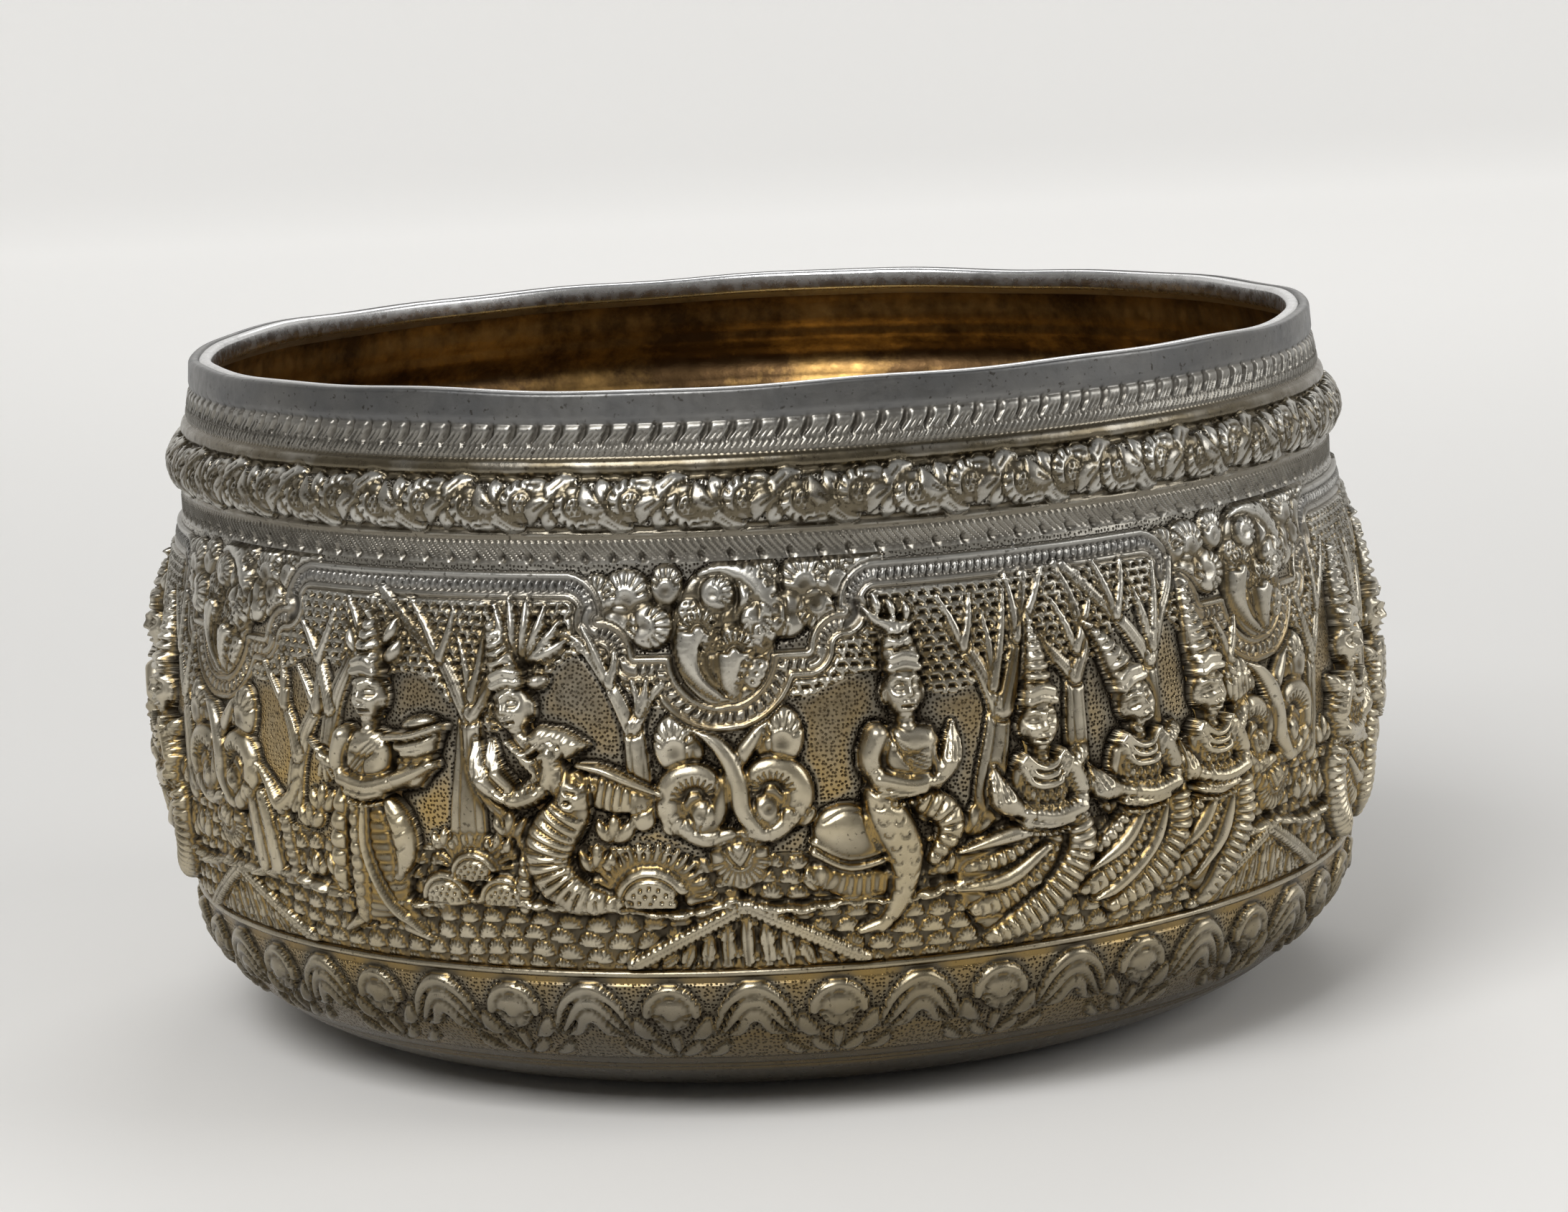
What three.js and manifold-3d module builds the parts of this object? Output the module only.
// A deep round bowl of chased silver, built as the silversmith builds it. The body is raised from
// one sheet, and its relief is pushed out from inside and chased from outside. A heavy ring stands
// inside the lip, and a fillet of hard solder runs under that ring and holds it to the wall.
// Millimetres, +Z up, with the origin at the middle of the flat base. The front is towards -Y.

import * as THREE from "three";
import { mergeVertices } from "three/addons/utils/BufferGeometryUtils.js";
import Module from "manifold-3d";

// Bands of the neck, from the lip downwards.
const LIP_BAND_HEIGHT = 5.8;
const UPPER_LEAF_BAND_HEIGHT = 6.2;
const COLLAR_STRIP_HEIGHT = 3.3;
const SCROLL_BAND_HEIGHT = 9.3;
const WAIST_STRIP_HEIGHT = 1.6;
const LOWER_LEAF_BAND_HEIGHT = 4.3;

// The frieze of figures, the ridge under it and the leaf band that turns in to the base.
const FRIEZE_HEIGHT = 72.4;
const RIDGE_HEIGHT = 1.6;
const LEAF_BAND_HEIGHT = 28.5;

// Radii of the outer face.
const RIM_RADIUS = 110;
const COLLAR_RADIUS = 111.8;
const SCROLL_BAND_BULGE = 2.6;
const WAIST_RADIUS = 113.2;
const BELLY_BULGE = 6;
const BELLY_RADIUS = WAIST_RADIUS + BELLY_BULGE;
const RIDGE_RADIUS = 114.4;
const RIDGE_PROUD = 0.8;
const BASE_RADIUS = 72;

// The sheet, the ring inside the lip and the solder under it.
const WALL = 1.8;
const RING_HEIGHT = 4.4;
const RING_THICKNESS = 2.6;
const RING_BEVEL = 1.4;
const SOLDER_LEG = 1.3;
const SOLDER_FILM = 0.3;

// How finely the round forms are cut into flats.
const BODY_SEGMENTS = 48;
const CURVE_STEPS = 5;

// The frieze: six panels with a pendant ornament between each two. It repeats after half a turn,
// and its panels are unequal, as the smith laid them out.
const PANEL_COUNT = 6;
const FIRST_PENDANT_DEG = -93.3;
const COURT_PANEL_DEG = 53.7;
const GARDEN_PANEL_DEG = 71.3;
const OFFERING_PANEL_DEG = 55;
const FIRST_LEAF_DEG = -92.5;

// The pendant: a round cartouche under the neck, a pair of scrolls and a hanging leaf below it.
const CARTOUCHE_RADIUS = 13;
const CARTOUCHE_DROP = 14.6;
const CARTOUCHE_PROUD = 2.4;
const SCROLL_RADIUS = 6.2;
const SCROLL_SPACING = 14.2;
const SCROLL_DROP = 40.8;
const SCROLL_PROUD = 3.2;
const FINIAL_DROP = 52;
const FINIAL_WIDTH = 8;

// Raised masses of the figures, trees, rocks and leaves. A drop is measured from the frieze's top.
const FIGURE_PROUD = 4.6;
const HEAD_WIDTH = 6.6;
const HEAD_HEIGHT = 9.4;
const HAT_PROUD = 3.4;
const TORSO_WIDTH = 12;
const TORSO_HEIGHT = 17;
const SKIRT_WIDTH = 12;
const TRUNK_WIDTH = 5;
const TRUNK_HEIGHT = 32;
const TRUNK_DROP = 34;
const TRUNK_PROUD = 1.8;
const ROCK_RADIUS = 8;
const ROCK_PROUD = 2.8;
const LEAF_COUNT = 24;
const LEAF_PROUD = 2.2;
const LEAF_LENGTH = 12;
const LEAF_WIDTH = 17;

// Heights above the base that follow from the bands.
const RIDGE_BOTTOM = LEAF_BAND_HEIGHT;
const RIDGE_TOP = RIDGE_BOTTOM + RIDGE_HEIGHT;
const FRIEZE_TOP = RIDGE_TOP + FRIEZE_HEIGHT;
const WAIST_TOP = FRIEZE_TOP + LOWER_LEAF_BAND_HEIGHT;
const SCROLL_BOTTOM = WAIST_TOP + WAIST_STRIP_HEIGHT;
const SCROLL_TOP = SCROLL_BOTTOM + SCROLL_BAND_HEIGHT;
const COLLAR_TOP = SCROLL_TOP + COLLAR_STRIP_HEIGHT;
const LEAF_TOP = COLLAR_TOP + UPPER_LEAF_BAND_HEIGHT;
const RIM_TOP = LEAF_TOP + LIP_BAND_HEIGHT;

const wasm = await Module();
wasm.setup();

const radians = THREE.MathUtils.degToRad;

function merged(geometry) {
  const bare = geometry.clone();
  bare.deleteAttribute("normal");
  bare.deleteAttribute("uv");
  return mergeVertices(bare, 1e-3);
}

// A closed geometry, placed by a matrix, as a solid that can be joined and cut.
function solidOf(geometry, matrix = new THREE.Matrix4()) {
  const closed = merged(geometry.clone().applyMatrix4(matrix));
  return new wasm.Manifold(
    new wasm.Mesh({
      numProp: 3,
      vertProperties: closed.attributes.position.array,
      triVerts: new Uint32Array(closed.index.array),
    }),
  );
}

function geometryOf(solid) {
  const mesh = solid.getMesh();
  const geometry = new THREE.BufferGeometry();
  geometry.setAttribute("position", new THREE.BufferAttribute(mesh.vertProperties, 3));
  geometry.setIndex(new THREE.BufferAttribute(mesh.triVerts, 1));
  geometry.computeVertexNormals();
  return geometry;
}

// A profile of [radius, height] pairs turned round the bowl's axis.
function turned(profile, segments = BODY_SEGMENTS) {
  const points = profile.map(([radius, height]) => new THREE.Vector2(radius, height));
  return new THREE.LatheGeometry(points, segments).rotateX(Math.PI / 2);
}

// The sweep from the flat base up to the ridge, a quarter of an ellipse.
function baseSweep(inset) {
  const points = [];
  for (let step = 0; step <= CURVE_STEPS; step++) {
    const turn = (Math.PI / 2) * (step / CURVE_STEPS);
    const radius = BASE_RADIUS - inset + (RIDGE_RADIUS - BASE_RADIUS) * Math.sin(turn);
    const height = inset + (RIDGE_BOTTOM - inset) * (1 - Math.cos(turn));
    points.push([radius, height]);
  }
  return points;
}

// The belly between the ridge and the waist: two half cosines that meet at its widest height.
function bellyRadius(share) {
  const widest = 0.42;
  const low = share < widest;
  const span = low ? share / widest : (1 - share) / (1 - widest);
  const edge = low ? RIDGE_RADIUS : WAIST_RADIUS;
  return edge + (BELLY_RADIUS - edge) * Math.sin((Math.PI / 2) * span);
}

function belly(inset) {
  const points = [];
  const steps = 2 * CURVE_STEPS - 4;
  for (let step = 0; step <= steps; step++) {
    const share = step / steps;
    points.push([bellyRadius(share) - inset, RIDGE_TOP + FRIEZE_HEIGHT * share]);
  }
  return points;
}

function scrollBand() {
  const points = [];
  for (let step = 1; step < CURVE_STEPS; step++) {
    const share = step / CURVE_STEPS;
    const straight = THREE.MathUtils.lerp(WAIST_RADIUS, COLLAR_RADIUS + 0.6, share);
    const bulge = SCROLL_BAND_BULGE * Math.sin(Math.PI * share);
    points.push([straight + bulge, SCROLL_BOTTOM + SCROLL_BAND_HEIGHT * share]);
  }
  return points;
}

function ridgeBead() {
  const middle = RIDGE_BOTTOM + RIDGE_HEIGHT / 2;
  return [
    [RIDGE_RADIUS + RIDGE_PROUD, middle - RIDGE_HEIGHT / 4],
    [RIDGE_RADIUS + RIDGE_PROUD, middle + RIDGE_HEIGHT / 4],
  ];
}

const outerProfile = [
  [0, 0],
  ...baseSweep(0),
  ...ridgeBead(),
  ...belly(0),
  [WAIST_RADIUS, WAIST_TOP],
  [WAIST_RADIUS, SCROLL_BOTTOM],
  ...scrollBand(),
  [COLLAR_RADIUS + 0.6, SCROLL_TOP],
  [COLLAR_RADIUS, COLLAR_TOP],
  [RIM_RADIUS + 0.4, LEAF_TOP],
  [RIM_RADIUS, RIM_TOP],
  [0, RIM_TOP],
];

const NECK_BORE = RIM_RADIUS - WALL;
const CLEAR_OF_LIP = 5;

const cavityProfile = [
  [0, WALL],
  ...baseSweep(WALL),
  ...belly(WALL),
  [WAIST_RADIUS - WALL, SCROLL_BOTTOM],
  [COLLAR_RADIUS - WALL, COLLAR_TOP],
  [NECK_BORE, LEAF_TOP],
  [NECK_BORE, RIM_TOP + CLEAR_OF_LIP],
  [0, RIM_TOP + CLEAR_OF_LIP],
];

function wallRadius(height) {
  if (height < RIDGE_BOTTOM) {
    const drop = 1 - height / RIDGE_BOTTOM;
    return BASE_RADIUS + (RIDGE_RADIUS - BASE_RADIUS) * Math.sqrt(1 - drop * drop);
  }
  return bellyRadius(THREE.MathUtils.clamp((height - RIDGE_TOP) / FRIEZE_HEIGHT, 0, 1));
}

// A place on the wall: x out of the wall, y round it to the right, z up along it, leaned sideways.
function onWall(degrees, height, leanDeg = 0) {
  const angle = radians(degrees);
  const slope = Math.atan((wallRadius(height + 1) - wallRadius(height - 1)) / 2);
  const radius = wallRadius(height);
  return new THREE.Matrix4()
    .makeTranslation(radius * Math.cos(angle), radius * Math.sin(angle), height)
    .multiply(new THREE.Matrix4().makeRotationZ(angle))
    .multiply(new THREE.Matrix4().makeRotationY(slope))
    .multiply(new THREE.Matrix4().makeRotationX(radians(leanDeg)));
}

const bosses = [];

// A smooth raised mass, half of which stands out of the wall.
function dome(degrees, height, proud, width, tall, leanDeg = 0, sides = 5) {
  const shape = new THREE.SphereGeometry(1, sides, 4).rotateX(Math.PI / 2);
  shape.scale(proud, width / 2, tall / 2);
  bosses.push(solidOf(shape, onWall(degrees, height, leanDeg)));
}

// A tapering mass, such as a tall hat or a tree trunk, from its middle.
function taper(degrees, height, proud, foot, top, tall, leanDeg = 0) {
  const shape = new THREE.CylinderGeometry(top / foot, 1, tall, 5).rotateX(Math.PI / 2);
  shape.scale(proud, foot / 2, 1);
  bosses.push(solidOf(shape, onWall(degrees, height, leanDeg)));
}

// The angle of a place that lies so many millimetres to the right of another on the belly.
function aside(degrees, millimetres) {
  return degrees + THREE.MathUtils.radToDeg(millimetres / BELLY_RADIUS);
}

function pendant(degrees) {
  const across = 2 * CARTOUCHE_RADIUS;
  const scroll = 2 * SCROLL_RADIUS;
  dome(degrees, FRIEZE_TOP - CARTOUCHE_DROP, CARTOUCHE_PROUD, across, across, 0, 8);
  for (const side of [-1, 1]) {
    const place = aside(degrees, (side * SCROLL_SPACING) / 2);
    dome(place, FRIEZE_TOP - SCROLL_DROP, SCROLL_PROUD, scroll, scroll);
  }
  dome(degrees, FRIEZE_TOP - FINIAL_DROP, SCROLL_PROUD, FINIAL_WIDTH, 2 * FINIAL_WIDTH);
}

function trunk(degrees, leanDeg = 0) {
  const drop = FRIEZE_TOP - TRUNK_DROP;
  taper(degrees, drop, TRUNK_PROUD, TRUNK_WIDTH, TRUNK_WIDTH / 2, TRUNK_HEIGHT, leanDeg);
}

function rock(degrees, drop) {
  dome(degrees, FRIEZE_TOP - drop, ROCK_PROUD, 2 * ROCK_RADIUS, 1.6 * ROCK_RADIUS);
}

// A figure: a head in a tall hat, both leaned alike, a torso, and a skirt swept to one side.
function figure(degrees, drop, hatHeight, headLean, skirtShift, skirtDrop, skirtHeight, skirtLean) {
  const reach = (HEAD_HEIGHT + hatHeight) / 2 - 1;
  const hatPlace = aside(degrees, -Math.sin(radians(headLean)) * reach);
  const hatRise = Math.cos(radians(headLean)) * reach;
  const headHeight = FRIEZE_TOP - drop;
  dome(degrees, headHeight, FIGURE_PROUD, HEAD_WIDTH, HEAD_HEIGHT, headLean);
  taper(hatPlace, headHeight + hatRise, HAT_PROUD, HEAD_WIDTH, 1.6, hatHeight, headLean);
  const torsoHeight = headHeight - HEAD_HEIGHT / 2 - TORSO_HEIGHT * 0.4;
  dome(degrees, torsoHeight, FIGURE_PROUD, TORSO_WIDTH, TORSO_HEIGHT);
  const skirtPlace = aside(degrees, skirtShift);
  dome(skirtPlace, FRIEZE_TOP - skirtDrop, FIGURE_PROUD, SKIRT_WIDTH, skirtHeight, skirtLean);
}

// Places are in millimetres to the right of the panel's middle.
function offeringPanel(middle) {
  figure(aside(middle, -11.6), 23, 13, 0, -1, 51, 32, 0);
  figure(aside(middle, 17.6), 23.4, 12, 3, 7, 49, 27, 17);
  trunk(aside(middle, 8.6));
  rock(aside(middle, 7.4), 56);
  rock(aside(middle, 40), 56);
}

function courtPanel(middle) {
  figure(aside(middle, -24.8), 23.8, 12, 0, 0, 51, 29, 4);
  rock(aside(middle, -35.4), 48);
  trunk(aside(middle, -11), -12);
  figure(aside(middle, -1), 31, 15, 0, -6, 56, 25, -24);
  figure(aside(middle, 18.8), 30.4, 15, 26, -4, 55, 26, -28);
  figure(aside(middle, 36.6), 31, 15, 8, 1, 55, 26, -12);
}

function gardenPanel(middle) {
  figure(aside(middle, -40), 30.6, 14, 0, 6, 56, 25, 24);
  trunk(aside(middle, -27), -5);
  figure(aside(middle, -14), 29.6, 14, -8, -1, 55, 26, 12);
  trunk(aside(middle, 1));
  figure(aside(middle, 16), 22.8, 12, 0, 0, 51, 29, 0);
  figure(aside(middle, 42), 30.6, 14, 0, -6, 56, 25, -24);
}

const PANELS = [
  [courtPanel, COURT_PANEL_DEG],
  [gardenPanel, GARDEN_PANEL_DEG],
  [offeringPanel, OFFERING_PANEL_DEG],
];

let start = FIRST_PENDANT_DEG;
for (let panel = 0; panel < PANEL_COUNT; panel++) {
  const [fill, width] = PANELS[panel % PANELS.length];
  pendant(start);
  fill(start + width / 2);
  start += width;
}

for (let leaf = 0; leaf < LEAF_COUNT; leaf++) {
  const degrees = FIRST_LEAF_DEG + (leaf * 360) / LEAF_COUNT;
  dome(degrees, RIDGE_BOTTOM - LEAF_LENGTH * 0.75, LEAF_PROUD, LEAF_WIDTH, LEAF_LENGTH);
}

// The ring's outer face follows the neck's bore, and its upper inner edge is bevelled.
function ringProfile() {
  const outer = NECK_BORE - SOLDER_FILM;
  const inner = outer - RING_THICKNESS;
  const bottom = RIM_TOP - RING_HEIGHT;
  return [
    [inner, bottom],
    [outer, bottom],
    [outer, RIM_TOP],
    [inner + RING_BEVEL, RIM_TOP],
    [inner, RIM_TOP - RING_BEVEL],
    [inner, bottom],
  ];
}

function solderProfile() {
  const outer = NECK_BORE - SOLDER_FILM;
  const top = RIM_TOP - RING_HEIGHT - SOLDER_FILM;
  return [
    [outer, top - SOLDER_LEG],
    [outer, top],
    [outer - SOLDER_LEG, top],
    [outer, top - SOLDER_LEG],
  ];
}

function material(color, roughness) {
  return new THREE.MeshStandardMaterial({ color, roughness, metalness: 1 });
}

function mesh(name, geometry, finish) {
  const made = new THREE.Mesh(geometry, finish);
  made.name = name;
  return made;
}

function bowlBody() {
  const raised = solidOf(turned(outerProfile));
  const cavity = solidOf(turned(cavityProfile));
  const worked = wasm.Manifold.union([raised, ...bosses]);
  return geometryOf(worked.subtract(cavity));
}

const bowl = new THREE.Group();
bowl.add(mesh("bowl_body", bowlBody(), material(0xa39a83, 0.32)));
bowl.add(mesh("rim_ring", turned(ringProfile()), material(0xb9b6b0, 0.28)));
bowl.add(mesh("rim_solder", turned(solderProfile()), material(0x8d8a84, 0.45)));

export default bowl;
